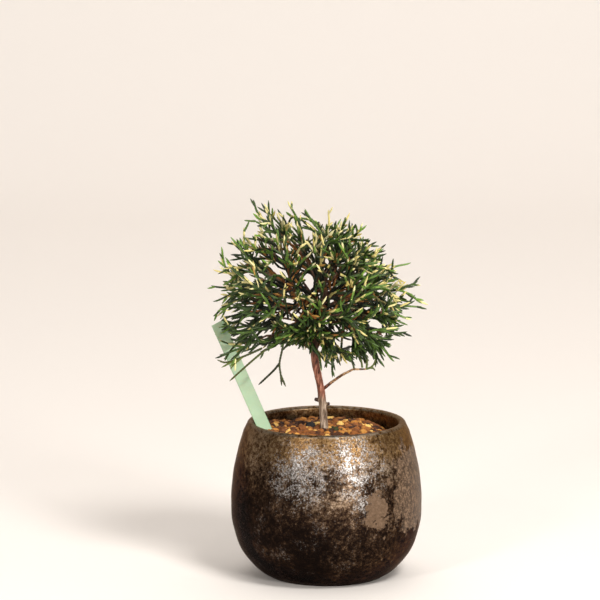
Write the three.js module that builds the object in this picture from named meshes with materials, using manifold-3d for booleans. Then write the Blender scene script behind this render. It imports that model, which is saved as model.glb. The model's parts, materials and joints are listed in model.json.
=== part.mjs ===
// A small conifer bonsai growing in a round, metallic glazed pot, with a plastic plant label.
// Millimetres, +Z up. The origin is on the pot's axis, on the surface that the pot stands on,
// and the front of the tree faces -Y.
import * as THREE from 'three';
import { mergeVertices } from 'three/addons/utils/BufferGeometryUtils.js';
import Module from 'manifold-3d';

const wasm = await Module();
wasm.setup();

// ---- Driving dimensions -------------------------------------------------------------------
const GAP = 0.3; // air between two pieces that touch
const GOLDEN_ANGLE = Math.PI * (3 - Math.sqrt(5));

// Pot: radius and height along the outside, from the foot to the lip.
const POT_OUTLINE = [
  [30, 0], [36.7, 4.2], [44.8, 14], [49.2, 27.5], [50, 39.5], [49.2, 52], [47, 64], [43.6, 76.2],
];
// The rounded lip: its centre, its radius, and the degrees it turns through.
const LIP = { radius: 39.7, height: 79.6, round: 2, from: 10, to: 170, steps: 4 };
const WALL = 4;
const FLOOR = 7;
const POT_SIDES = 40;
const OUTSIDE_STEPS = 13;
const INSIDE = { start: 0.2, steps: 9 }; // the share of the outline where the inside begins
const DRAIN = { radius: 3.5, ring: 13, count: 3, sides: 16 };

// Net over the drain holes: a thin disc with square openings.
const NET = { radius: 19, thickness: 1, opening: 4.4, pitch: 6.6, cells: 2, sides: 24 };

// Soil: a mound that drops along its right side, between the two distances from the middle.
const SOIL = {
  crest: 76.4, fall: 0.0012, rightDrop: 3.6, dropFrom: 16, dropTo: 36, bump: 0.55,
  wallGap: 0.5, edgeDrop: 2, edgeInset: 0.5, rings: 7, sides: 32, wallSteps: 9,
};

// Label: a flat strip pushed into the soil at the left, leaning on nothing.
const LABEL = { width: 7.5, thickness: 0.7, length: 90, lean: 23.4, turn: 28 };
const LABEL_TOP = [-56.6, 0.6, 133.2]; // middle of its upper end

// Trunk: its centre line from below the soil to the leader, and its radius along it.
const TRUNK_PATH = [
  [-0.9, 0.2, 66], [-1.1, 0, 76], [-2, 0, 90], [-2.9, -0.4, 98], [-4.4, -0.6, 105.6],
  [-5.9, -0.3, 112.5], [-6.5, 0.3, 119], [-5.6, 0.8, 126], [-2.6, 0.5, 134.5], [-0.8, -0.3, 143],
  [-0.9, -0.8, 151], [-2.2, -0.2, 159], [-3.4, 0.5, 166],
];
const TRUNK_RADIUS = [2.3, 1.9, 2.0, 1.05]; // at the root, at the soil, halfway up, at the leader
const TRUNK_SIDES = 8;
const TRUNK_STEPS = 20;
const ROOTS = { count: 5, reach: 19, depth: 14, radius: 1.3, tipRadius: 0.4, rise: 3, turn: 0.4 };

// Stubs of cut branches on the lower trunk: height, direction to the right, length, radius.
const STUBS = [[91.4, -1, 4.0, 1.15], [89.2, 1, 3.6, 1.1]];
const STUB = { forward: 0.6, rise: 1.2, taper: 0.8, sides: 6 };

// Branches: the path from the trunk's centre line to the tip, the radius at the trunk, the number
// of sprays, how far a spray reaches, and how much the sprays rise (+) or hang (-).
const BRANCHES = {
  low_right: {
    path: [[-2.9, -0.3, 97.4], [1.6, -1, 101.2], [7.6, -2.5, 105.9], [12.8, -4, 109.2], [20.6, -6, 109.9]],
    radius: 0.95, sprays: 3, reach: 12.5, lift: 1.1,
  },
  low_left: {
    path: [[-6.4, 0, 118.4], [-14, -4, 124], [-24.5, -8, 129], [-33, -10, 127.6], [-40, -11, 124.4]],
    radius: 0.95, sprays: 3, reach: 18, lift: -0.55,
  },
  mid_left: {
    path: [[-5.8, 0.6, 125], [-16.4, 4, 135.6], [-26.6, 7, 141], [-38, 9, 144.6]],
    radius: 0.9, sprays: 3, reach: 19, lift: 0,
  },
  upper_left: {
    path: [[-4.2, 0.6, 130.4], [-13.8, -5, 145], [-24, -8, 156.6], [-35, -9, 163]],
    radius: 0.9, sprays: 3, reach: 20, lift: 0.1,
  },
  top_left: {
    path: [[-1.9, 0.2, 137], [-11, 2, 153], [-21, 3, 166], [-29, 4, 177]],
    radius: 0.85, sprays: 3, reach: 19, lift: 0.3,
  },
  top_middle: {
    path: [[-0.8, -0.4, 145], [-6, -5, 157.5], [-11, -8, 168], [-14, -9, 173]],
    radius: 0.8, sprays: 2, reach: 17, lift: 0.4,
  },
  leader: {
    path: [[-3.2, 0.4, 163], [-2.6, 1, 170], [0.6, 2, 174]],
    radius: 0.95, sprays: 2, reach: 17, lift: 0.3,
  },
  top_right: {
    path: [[-0.9, -0.8, 150], [6, 3, 160], [13.5, 5, 167.5]],
    radius: 0.8, sprays: 3, reach: 18, lift: 0.25,
  },
  upper_right: {
    path: [[-0.9, -0.1, 141], [9.6, -5, 148], [22.5, -9, 154]],
    radius: 0.85, sprays: 3, reach: 19, lift: 0.1,
  },
  mid_right: {
    path: [[-2.4, 0.4, 135], [12, 4, 139], [27.5, 7, 142.5]],
    radius: 0.85, sprays: 3, reach: 20, lift: 0,
  },
  inner_right: {
    path: [[-5.4, 0.8, 126.6], [6, -3, 127], [22, -5, 128]],
    radius: 0.85, sprays: 2, reach: 19, lift: -0.1,
  },
  front_low: {
    path: [[-6.4, 0, 120.6], [-8, -13, 124], [-9, -25, 127]],
    radius: 0.8, sprays: 2, reach: 17, lift: -0.2,
  },
  front_left: {
    path: [[-5, 0.6, 128.6], [-14, -12, 136], [-24, -22, 140]],
    radius: 0.8, sprays: 2, reach: 18, lift: 0,
  },
  front_right: {
    path: [[-3.4, 0.5, 132.6], [6, -12, 136], [14, -23, 138]],
    radius: 0.8, sprays: 2, reach: 18, lift: -0.1,
  },
  front_middle: {
    path: [[-1.2, 0, 140], [-2, -14, 147], [-3, -27, 151]],
    radius: 0.8, sprays: 3, reach: 18, lift: 0.1,
  },
  front_high: {
    path: [[-1.3, -0.6, 154], [2, -9, 162], [5, -17, 167]],
    radius: 0.7, sprays: 2, reach: 17, lift: 0.2,
  },
  back_low: {
    path: [[-6.3, 0.5, 122.4], [-5, 13, 126.6], [-4, 25, 129]],
    radius: 0.8, sprays: 2, reach: 17, lift: -0.2,
  },
  back_left: {
    path: [[-4.6, 0.7, 129.6], [-15, 13, 137], [-25, 22, 142]],
    radius: 0.8, sprays: 2, reach: 18, lift: 0,
  },
  back_right: {
    path: [[-3, 0.5, 133.6], [8, 12, 138], [17, 22, 142]],
    radius: 0.8, sprays: 2, reach: 18, lift: 0,
  },
  back_middle: {
    path: [[-0.9, -0.4, 146.4], [-5, 13, 153], [-9, 26, 157]],
    radius: 0.8, sprays: 3, reach: 18, lift: 0.1,
  },
  back_high: {
    path: [[-1.8, -0.4, 156.6], [2, 9, 163], [5, 17, 168]],
    radius: 0.7, sprays: 2, reach: 17, lift: 0.2,
  },
};
const BRANCH_SIDES = 5;
const BRANCH_STEPS = 4;
const BRANCH_TIP_RADIUS = 0.55;

// Foliage: cord-like shoots. A spray is one shoot with side shoots around it.
const CROWN_CENTRE = [-5, 0, 143];
const CORD_RADIUS = 0.8;
const SIDE_CORDS = { count: 7, first: 0.16, last: 0.82 }; // the shares of the shoot they leave at
const SIDE_LENGTH = { base: 0.86, loss: 0.44, spread: 0.15 }; // as shares of the spray's reach
const FORK_ANGLE = 0.85; // radians between a shoot and its side shoots
const SPRAY_SPACING = 0.25; // between two sprays, as a share of their branch
const SPREAD = { outward: 0.4, sideways: 0.9, along: 0.5 }; // how a spray leaves its branch
const SPARE_ROOM = 0.15; // kept between two shoots, beyond the gap
const SHORTEST_EDGE = 0.01; // a side shoot that would leave a finer edge is turned a little
const TRIES = { main: 40, side: 7, tilt: 0.05, turn: 0.37 }; // before a shoot is given up
const STRETCHES = { trunk: 24, branch: 8, main: 5, side: 3 }; // straight parts that stand for a curve

// ---- Materials ------------------------------------------------------------------------------
const finish = (color, roughness, metalness = 0) =>
  new THREE.MeshStandardMaterial({ color, roughness, metalness });
const MATERIALS = {
  glaze: finish(0x6b5140, 0.35, 0.75),
  net: finish(0x20211f, 0.6),
  soil: finish(0x8a5430, 0.95),
  label: finish(0xc3dfb6, 0.5),
  bark: finish(0x7a4a36, 0.9),
  foliage: finish(0x4c5f25, 0.6),
};

// ---- Solids -----------------------------------------------------------------------------------
// A closed geometry as a manifold solid, and back.
function toSolid(geometry) {
  const bare = geometry.clone();
  bare.deleteAttribute('normal');
  bare.deleteAttribute('uv');
  const merged = mergeVertices(bare, 1e-4);
  return new wasm.Manifold(new wasm.Mesh({
    numProp: 3,
    vertProperties: new Float32Array(merged.attributes.position.array),
    triVerts: new Uint32Array(merged.index.array),
  }));
}

function toGeometry(solid) {
  const mesh = solid.getMesh();
  const geometry = new THREE.BufferGeometry();
  geometry.setAttribute('position', new THREE.BufferAttribute(mesh.vertProperties, 3));
  geometry.setIndex(new THREE.BufferAttribute(mesh.triVerts, 1));
  geometry.computeVertexNormals();
  return geometry;
}

function shortestEdge(solid) {
  const { vertProperties, triVerts } = solid.getMesh();
  const corner = (i) => new THREE.Vector3().fromArray(vertProperties, 3 * triVerts[i]);
  let shortest = Infinity;
  for (let i = 0; i < triVerts.length; i += 1) {
    const next = i % 3 === 2 ? i - 2 : i + 1;
    shortest = Math.min(shortest, corner(i).distanceTo(corner(next)));
  }
  return shortest;
}

const union = (solids) => solids.reduce((whole, solid) => whole.add(solid));

const bonsai = new THREE.Group();
function addPiece(name, geometry, material) {
  const mesh = new THREE.Mesh(geometry, material);
  mesh.name = name;
  bonsai.add(mesh);
}

// A round rod bent along a curve. radiusAt gives its radius from 0 at the start to 1 at the end,
// and a pointed rod closes to a point there.
function limb(curve, radiusAt, sides, steps, pointed = false) {
  const rod = pointed
    ? new THREE.ConeGeometry(1, 1, sides, steps)
    : new THREE.CylinderGeometry(1, 1, 1, sides, steps);
  const frames = curve.computeFrenetFrames(steps);
  const position = rod.attributes.position;
  const point = new THREE.Vector3();
  for (let i = 0; i < position.count; i += 1) {
    const t = position.getY(i) + 0.5;
    const step = Math.round(t * steps);
    const across = new THREE.Vector2(position.getX(i), position.getZ(i));
    const spread = across.length() > 1e-6 ? radiusAt(t) / across.length() : 0;
    curve.getPointAt(t, point);
    point.addScaledVector(frames.binormals[step], across.x * spread);
    point.addScaledVector(frames.normals[step], across.y * spread);
    position.setXYZ(i, point.x, point.y, point.z);
  }
  return rod;
}

const smoothCurve = (points) => new THREE.CatmullRomCurve3(points);
const vectors = (points) => points.map((point) => new THREE.Vector3(...point));
const between = (from, to) => (t) => THREE.MathUtils.lerp(from, to, t);

// ---- Pot ----------------------------------------------------------------------------------------
const potOutline = new THREE.SplineCurve(POT_OUTLINE.map(([r, z]) => new THREE.Vector2(r, z)));
const outside = potOutline.getPoints(OUTSIDE_STEPS);

// The inside keeps the wall's thickness, measured square to the outside.
function insideOutline() {
  const points = [new THREE.Vector2(0, FLOOR)];
  for (let i = 0; i <= INSIDE.steps; i += 1) {
    const t = THREE.MathUtils.lerp(INSIDE.start, 1, i / INSIDE.steps);
    const tangent = potOutline.getTangent(t);
    const point = potOutline.getPoint(t);
    point.x -= tangent.y * WALL;
    point.y += tangent.x * WALL;
    if (point.y > FLOOR + 1) points.push(point);
  }
  points.splice(1, 0, new THREE.Vector2(points[1].x - WALL, FLOOR));
  return points;
}
const inside = insideOutline();

function insideRadius(height) {
  const above = inside.findIndex((point, i) => i > 1 && point.y >= height);
  const [low, high] = [inside[above - 1], inside[above]];
  return THREE.MathUtils.mapLinear(height, low.y, high.y, low.x, high.x);
}

function lipOutline() {
  const points = [];
  for (let i = 0; i <= LIP.steps; i += 1) {
    const angle = THREE.MathUtils.degToRad(THREE.MathUtils.lerp(LIP.from, LIP.to, i / LIP.steps));
    points.push(new THREE.Vector2(
      LIP.radius + LIP.round * Math.cos(angle),
      LIP.height + LIP.round * Math.sin(angle),
    ));
  }
  return points;
}

function makePot() {
  const profile = [
    new THREE.Vector2(0, 0), ...outside, ...lipOutline(), ...inside.slice().reverse(),
  ];
  let pot = toSolid(new THREE.LatheGeometry(profile, POT_SIDES).rotateX(Math.PI / 2));
  for (let i = 0; i < DRAIN.count; i += 1) {
    const drill = new THREE.CylinderGeometry(DRAIN.radius, DRAIN.radius, FLOOR * 3, DRAIN.sides);
    drill.rotateX(Math.PI / 2);
    const angle = Math.PI / 2 + (2 * Math.PI * i) / DRAIN.count;
    drill.translate(DRAIN.ring * Math.cos(angle), DRAIN.ring * Math.sin(angle), FLOOR / 2);
    pot = pot.subtract(toSolid(drill));
  }
  return toGeometry(pot);
}

function makeNet() {
  const disc = new THREE.CylinderGeometry(NET.radius, NET.radius, NET.thickness, NET.sides);
  let net = toSolid(disc.rotateX(Math.PI / 2));
  for (let row = -NET.cells; row <= NET.cells; row += 1) {
    for (let column = -NET.cells; column <= NET.cells; column += 1) {
      const x = column * NET.pitch;
      const y = row * NET.pitch;
      if (Math.hypot(x, y) > NET.radius - NET.opening) continue;
      const window = new THREE.BoxGeometry(NET.opening, NET.opening, NET.thickness * 3);
      net = net.subtract(toSolid(window.translate(x, y, 0)));
    }
  }
  return toGeometry(net).translate(0, 0, FLOOR + GAP + NET.thickness / 2);
}

// ---- Trunk and branches ---------------------------------------------------------------------------
const trunkCurve = smoothCurve(vectors(TRUNK_PATH));
function trunkRadius(t) {
  const last = TRUNK_RADIUS.length - 1;
  const step = Math.min(Math.floor(t * last), last - 1);
  return THREE.MathUtils.lerp(TRUNK_RADIUS[step], TRUNK_RADIUS[step + 1], t * last - step);
}

function rootCurve(index) {
  const angle = ROOTS.turn + (2 * Math.PI * index) / ROOTS.count;
  const foot = new THREE.Vector3(...TRUNK_PATH[0]);
  foot.z += ROOTS.rise;
  const side = new THREE.Vector3(Math.cos(angle), Math.sin(angle), 0);
  return smoothCurve([
    foot,
    foot.clone().addScaledVector(side, ROOTS.reach * 0.35).setZ(foot.z - ROOTS.depth * 0.25),
    foot.clone().addScaledVector(side, ROOTS.reach).setZ(foot.z - ROOTS.depth),
  ]);
}

// Everything of the tree that stands in the soil, made wider by the margin given.
function buriedWood(margin) {
  const solids = [];
  for (let i = 0; i < ROOTS.count; i += 1) {
    const radius = between(ROOTS.radius + margin, ROOTS.tipRadius + margin);
    solids.push(toSolid(limb(rootCurve(i), radius, BRANCH_SIDES, BRANCH_STEPS)));
  }
  return solids;
}

const trunk = (margin) =>
  toSolid(limb(trunkCurve, (t) => trunkRadius(t) + margin, TRUNK_SIDES, TRUNK_STEPS));

function stubSolid([height, side, length, radius]) {
  const t = (height - TRUNK_PATH[0][2]) / (TRUNK_PATH.at(-1)[2] - TRUNK_PATH[0][2]);
  const start = trunkCurve.getPointAt(t);
  const end = start.clone().add(new THREE.Vector3(side * length, -STUB.forward, STUB.rise));
  const radiusAt = between(radius, radius * STUB.taper);
  return toSolid(limb(new THREE.LineCurve3(start, end), radiusAt, STUB.sides, 1));
}

const branchCurves = {};
for (const [name, branch] of Object.entries(BRANCHES)) {
  branchCurves[name] = smoothCurve(vectors(branch.path));
}
const branchRadius = (branch, t) => THREE.MathUtils.lerp(branch.radius, BRANCH_TIP_RADIUS, t);

function makeWood() {
  const solids = [trunk(0), ...buriedWood(0), ...STUBS.map(stubSolid)];
  for (const [name, branch] of Object.entries(BRANCHES)) {
    const radius = (t) => branchRadius(branch, t);
    solids.push(toSolid(limb(branchCurves[name], radius, BRANCH_SIDES, BRANCH_STEPS)));
  }
  return toGeometry(union(solids));
}

// ---- Label ----------------------------------------------------------------------------------------
function labelSolid(margin) {
  const strip = new THREE.BoxGeometry(
    LABEL.width + 2 * margin, LABEL.thickness + 2 * margin, LABEL.length + 2 * margin,
  );
  strip.translate(0, 0, -LABEL.length / 2);
  strip.rotateZ(THREE.MathUtils.degToRad(LABEL.turn));
  strip.rotateY(-THREE.MathUtils.degToRad(LABEL.lean));
  strip.translate(...LABEL_TOP);
  return strip;
}

// ---- Soil -------------------------------------------------------------------------------------------
function soilHeight(x, y) {
  const right = THREE.MathUtils.smoothstep(x, SOIL.dropFrom, SOIL.dropTo);
  const bumps = Math.sin(x * 1.1 + 2 * Math.cos(y * 0.5)) * Math.sin(y * 0.9 + Math.cos(x * 0.4));
  return SOIL.crest - SOIL.fall * (x * x + y * y) - SOIL.rightDrop * right + SOIL.bump * bumps;
}

function makeSoil() {
  const bottom = FLOOR + NET.thickness + 2 * GAP;
  const edgeHeight = SOIL.crest - SOIL.edgeDrop;
  const profile = [new THREE.Vector2(0, bottom)];
  for (let i = 0; i <= SOIL.wallSteps; i += 1) {
    const height = THREE.MathUtils.lerp(bottom, edgeHeight, i / SOIL.wallSteps);
    profile.push(new THREE.Vector2(insideRadius(height) - SOIL.wallGap, height));
  }
  // The surface starts a little inside the wall, so that its bumps stay clear of the narrow mouth.
  const rim = profile.at(-1).x - SOIL.edgeInset;
  for (let i = 0; i <= SOIL.rings; i += 1) {
    profile.push(new THREE.Vector2(rim * (1 - i / SOIL.rings), edgeHeight + 0.001));
  }
  const mound = new THREE.LatheGeometry(profile, SOIL.sides);
  const position = mound.attributes.position;
  // A lathe turns its profile about Y, so its height is Y until it is stood up.
  mound.rotateX(Math.PI / 2);
  for (let i = 0; i < position.count; i += 1) {
    if (position.getZ(i) > edgeHeight + 0.0005) {
      position.setZ(i, soilHeight(position.getX(i), position.getY(i)));
    }
  }
  let soil = toSolid(mound).subtract(trunk(GAP)).subtract(toSolid(labelSolid(GAP)));
  for (const root of buriedWood(GAP)) soil = soil.subtract(root);
  return toGeometry(soil);
}

// ---- Foliage ------------------------------------------------------------------------------------------
// Every cord, branch and the label as straight stretches with a radius, so that a new cord can be
// grown only where there is room for it.
const stretches = [];
function claim(curve, radiusAt, owner, steps) {
  const points = curve.getSpacedPoints(steps);
  for (let i = 0; i < steps; i += 1) {
    const line = new THREE.Line3(points[i], points[i + 1]);
    stretches.push({ line, radius: radiusAt(i / steps), owner });
  }
}

// The first stretch of a cord may be near the branch that it grows from.
function isClear(curve, radius, owner, steps, home) {
  const points = curve.getSpacedPoints(steps);
  for (let i = 0; i < steps; i += 1) {
    const line = new THREE.Line3(points[i], points[i + 1]);
    for (const other of stretches) {
      if (other.owner === owner || (i === 0 && other.owner === home)) continue;
      const room = radius + other.radius + GAP + SPARE_ROOM;
      if (line.distanceSqToLine3(other.line) < room * room) return false;
    }
  }
  return true;
}

// A shoot keeps nearly its width and then closes to a point. A side shoot is narrow where it
// starts, inside the main one.
function mainCord(curve) {
  return toSolid(limb(curve, (t) => (t < 1 ? CORD_RADIUS * (1 - 0.25 * t) : 0), 4, 4, true));
}

function sideCord(curve) {
  const radiusAt = (t) => CORD_RADIUS * (1 - 2 * Math.abs(t - 0.5)) + 0.3 * (1 - t);
  return toSolid(limb(curve, radiusAt, 3, 2, true));
}

// Any direction square to the one given.
function squareTo(direction) {
  const helper = Math.abs(direction.z) < 0.9 ? new THREE.Vector3(0, 0, 1) : new THREE.Vector3(1, 0, 0);
  return new THREE.Vector3().crossVectors(direction, helper).normalize();
}

// A cord that starts along one direction and bends towards another.
function cordCurve(start, heading, towards, length) {
  const middle = start.clone().addScaledVector(heading, length * 0.5);
  const bent = heading.clone().lerp(towards, 0.3).normalize();
  return new THREE.QuadraticBezierCurve3(
    start, middle, middle.clone().addScaledVector(bent, length * 0.5),
  );
}

const cordRadius = () => CORD_RADIUS;

function growSpray({ name, home, start, heading, reach, seed }) {
  const outward = start.clone().sub(new THREE.Vector3(...CROWN_CENTRE)).normalize();
  let main = null;
  // The main shoot turns a little further at each try until it has room.
  for (let attempt = 0; attempt < TRIES.main && !main; attempt += 1) {
    const side = squareTo(heading).applyAxisAngle(heading, seed + attempt * GOLDEN_ANGLE);
    const direction = heading.clone().addScaledVector(side, TRIES.tilt * attempt).normalize();
    const curve = cordCurve(start, direction, outward, reach);
    if (isClear(curve, CORD_RADIUS, name, STRETCHES.main, home)) main = curve;
  }
  if (!main) throw new Error(`${name} has no room`);
  claim(main, cordRadius, name, STRETCHES.main);
  let spray = mainCord(main);
  for (let i = 0; i < SIDE_CORDS.count; i += 1) {
    const t = THREE.MathUtils.lerp(SIDE_CORDS.first, SIDE_CORDS.last, i / (SIDE_CORDS.count - 1));
    const fork = main.getPointAt(t);
    const along = main.getTangentAt(t);
    const uneven = 1 + SIDE_LENGTH.spread * Math.sin(seed * 3 + i * GOLDEN_ANGLE);
    const length = reach * (SIDE_LENGTH.base - SIDE_LENGTH.loss * t) * uneven;
    for (let attempt = 0; attempt < TRIES.side; attempt += 1) {
      const turn = seed + (i + attempt * TRIES.turn) * GOLDEN_ANGLE;
      const side = squareTo(along).applyAxisAngle(along, turn);
      const direction = along.clone().multiplyScalar(Math.cos(FORK_ANGLE));
      direction.addScaledVector(side, Math.sin(FORK_ANGLE));
      const curve = cordCurve(fork, direction, along, length);
      if (!isClear(curve, CORD_RADIUS, name, STRETCHES.side)) continue;
      const joined = spray.add(sideCord(curve));
      if (shortestEdge(joined) < SHORTEST_EDGE) continue;
      spray = joined;
      claim(curve, cordRadius, name, STRETCHES.side);
      break;
    }
  }
  addPiece(name, toGeometry(spray), MATERIALS.foliage);
}

function growFoliage() {
  claim(trunkCurve, trunkRadius, 'trunk', STRETCHES.trunk);
  const lean = THREE.MathUtils.degToRad(LABEL.lean);
  const labelTop = new THREE.Vector3(...LABEL_TOP);
  const labelFoot = new THREE.Vector3(Math.sin(lean), 0, -Math.cos(lean))
    .multiplyScalar(LABEL.length).add(labelTop);
  claim(new THREE.LineCurve3(labelTop, labelFoot), () => LABEL.width / 2, 'label', 1);
  for (const [name, branch] of Object.entries(BRANCHES)) {
    claim(branchCurves[name], (t) => branchRadius(branch, t), name, STRETCHES.branch);
  }
  const ends = [];
  Object.entries(BRANCHES).forEach(([name, branch], order) => {
    const curve = branchCurves[name];
    for (let i = 0; i < branch.sprays; i += 1) {
      // The first spray goes on from the branch's tip and the others leave its side.
      const t = 1 - SPRAY_SPACING * i;
      const tangent = curve.getTangentAt(t);
      const seed = order * 1.7 + i * GOLDEN_ANGLE;
      const root = curve.getPointAt(t);
      const outward = root.clone().sub(new THREE.Vector3(...CROWN_CENTRE)).normalize();
      const heading = tangent.clone().lerp(outward, SPREAD.outward);
      heading.z += branch.lift;
      if (i > 0) {
        const side = squareTo(tangent).applyAxisAngle(tangent, seed);
        heading.addScaledVector(side, SPREAD.sideways);
        heading.addScaledVector(tangent, -heading.dot(tangent) * SPREAD.along);
      }
      heading.normalize();
      const clearance = i > 0
        ? branchRadius(branch, t) + CORD_RADIUS + GAP + 3 * SPARE_ROOM
        : CORD_RADIUS * Math.sin(heading.angleTo(tangent)) + GAP + SPARE_ROOM;
      const start = root.addScaledVector(i > 0 ? heading : tangent, clearance);
      ends.push({
        name: `spray_${name}_${i + 1}`, home: name, start, heading, reach: branch.reach, seed,
      });
    }
  });
  ends.forEach(growSpray);
}

addPiece('pot', makePot(), MATERIALS.glaze);
addPiece('drainage_net', makeNet(), MATERIALS.net);
addPiece('soil', makeSoil(), MATERIALS.soil);
addPiece('plant_label', labelSolid(0), MATERIALS.label);
addPiece('trunk_and_branches', makeWood(), MATERIALS.bark);
growFoliage();

export default bonsai;
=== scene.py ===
"""Looks of a small conifer bonsai in a round metallic glazed pot.

Metres, +Z up, the front of the tree faces -Y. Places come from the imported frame.
"""
import json
import math

import bmesh
import bpy
import numpy as np
from mathutils import Matrix, Vector, kdtree, noise
from mathutils.bvhtree import BVHTree

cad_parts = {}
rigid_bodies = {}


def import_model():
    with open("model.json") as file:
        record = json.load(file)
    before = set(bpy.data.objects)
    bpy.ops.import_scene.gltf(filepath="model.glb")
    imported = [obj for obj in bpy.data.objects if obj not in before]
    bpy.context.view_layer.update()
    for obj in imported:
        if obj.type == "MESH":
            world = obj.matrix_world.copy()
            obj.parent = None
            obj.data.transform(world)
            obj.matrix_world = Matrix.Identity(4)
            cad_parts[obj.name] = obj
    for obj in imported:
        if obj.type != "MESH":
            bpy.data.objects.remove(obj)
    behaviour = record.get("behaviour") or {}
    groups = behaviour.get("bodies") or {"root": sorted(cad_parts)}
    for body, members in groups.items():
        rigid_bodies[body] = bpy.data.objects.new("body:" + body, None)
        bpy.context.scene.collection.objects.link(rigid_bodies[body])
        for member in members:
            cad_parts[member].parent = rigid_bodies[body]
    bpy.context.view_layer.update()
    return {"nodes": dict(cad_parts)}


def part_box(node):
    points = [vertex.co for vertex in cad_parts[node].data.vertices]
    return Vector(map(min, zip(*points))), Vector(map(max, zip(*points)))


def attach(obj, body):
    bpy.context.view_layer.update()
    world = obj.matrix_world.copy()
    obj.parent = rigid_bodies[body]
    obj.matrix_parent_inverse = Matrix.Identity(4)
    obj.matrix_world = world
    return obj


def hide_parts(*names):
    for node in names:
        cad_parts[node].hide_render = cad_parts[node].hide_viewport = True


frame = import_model()

MM = 0.001
rng = np.random.default_rng(7)


# ---- Camera, lights and floor ----
CAMERA_DISTANCE = 2200 * MM
CAMERA_HEIGHT = 530 * MM
CAMERA_SIDE = -13.8 * MM
CAMERA_PITCH = math.radians(9.92)  # below the horizon
CAMERA_REACH = 20  # the farthest distance seen
FOCAL_WIDTHS = 7.175  # focal length in picture widths
SENSOR_WIDTH = 36.0

OBJECT_MIDDLE = (0, 0, 0.10)
LIGHTS = [  # name, place, target, size, power, colour
    ("low key", (0.80, -1.24, 0.40), OBJECT_MIDDLE, (0.26, 0.30), 14, (1.0, 0.985, 0.96)),
    ("high key", (0.56, -0.92, 1.30), OBJECT_MIDDLE, (0.46, 0.40), 17, (1.0, 0.985, 0.96)),
    ("small", (-0.75, -1.16, 0.66), OBJECT_MIDDLE, (0.20, 0.25), 6, (1.0, 0.98, 0.95)),
    ("top", (0.15, 0.35, 2.1), (0, 0.25, 0), (2.4, 2.4), 16.5, (1.0, 0.98, 0.96)),
    ("backdrop", (0.0, 1.1, 2.1), (0, 1.8, 0.2), (2.6, 0.8), 10, (1.0, 0.97, 0.94)),
]
WORLD_COLOUR = (1.0, 0.95, 0.90, 1)
WORLD_STRENGTH = 0.20

FLOOR_COLOUR = (0.87, 0.815, 0.765)
FLOOR_ROUGHNESS = 0.75
FLOOR_HALF_WIDTH = 3.0
FLOOR_FRONT = -2.6
FLOOR_BACK = 1.2
SWEEP_BEND = 0.5  # radius of the bend from the floor into the backdrop
SWEEP_TOP = 2.4
SWEEP_STEPS = 12


def add_object(name, data):
    thing = bpy.data.objects.new(name, data)
    bpy.context.scene.collection.objects.link(thing)
    return thing


def make_camera():
    data = bpy.data.cameras.new("camera")
    data.sensor_width = SENSOR_WIDTH
    data.lens = SENSOR_WIDTH * FOCAL_WIDTHS
    data.clip_end = CAMERA_REACH
    camera = add_object("camera", data)
    camera.location = (CAMERA_SIDE, -CAMERA_DISTANCE, CAMERA_HEIGHT)
    camera.rotation_euler = (math.pi / 2 - CAMERA_PITCH, 0, 0)
    bpy.context.scene.camera = camera


def make_lights():
    for name, place, target, size, power, colour in LIGHTS:
        data = bpy.data.lights.new(name, "AREA")
        data.shape = "RECTANGLE"
        data.size, data.size_y = size
        data.energy = power
        data.color = colour
        light = add_object(name, data)
        light.location = place
        direction = Vector(target) - Vector(place)
        light.rotation_euler = direction.to_track_quat("-Z", "Y").to_euler()
    world = bpy.data.worlds.new("studio")
    world.use_nodes = True
    background = world.node_tree.nodes["Background"]
    background.inputs["Color"].default_value = WORLD_COLOUR
    background.inputs["Strength"].default_value = WORLD_STRENGTH
    bpy.context.scene.world = world
    bpy.context.scene.view_settings.view_transform = "Standard"


def make_floor():
    """A plain pale sweep: flat floor that curves up into a backdrop behind the object."""
    g = Graph("floor")
    g.surface("Base Color", FLOOR_COLOUR)
    g.surface("Roughness", FLOOR_ROUGHNESS)
    outline = [(FLOOR_FRONT, 0.0), (FLOOR_BACK, 0.0)]
    for i in range(1, SWEEP_STEPS + 1):
        angle = math.pi / 2 * i / SWEEP_STEPS
        outline.append((FLOOR_BACK + SWEEP_BEND * math.sin(angle), SWEEP_BEND * (1 - math.cos(angle))))
    outline.append((FLOOR_BACK + SWEEP_BEND, SWEEP_TOP))
    vertices = [(side, y, z) for y, z in outline for side in (-FLOOR_HALF_WIDTH, FLOOR_HALF_WIDTH)]
    faces = [(k, k + 1, k + 3, k + 2) for k in range(0, len(vertices) - 2, 2)]
    mesh = mesh_from_lists("floor", vertices, faces, True, {})
    mesh.materials.append(g.material)
    floor = add_object("floor", mesh)


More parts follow.
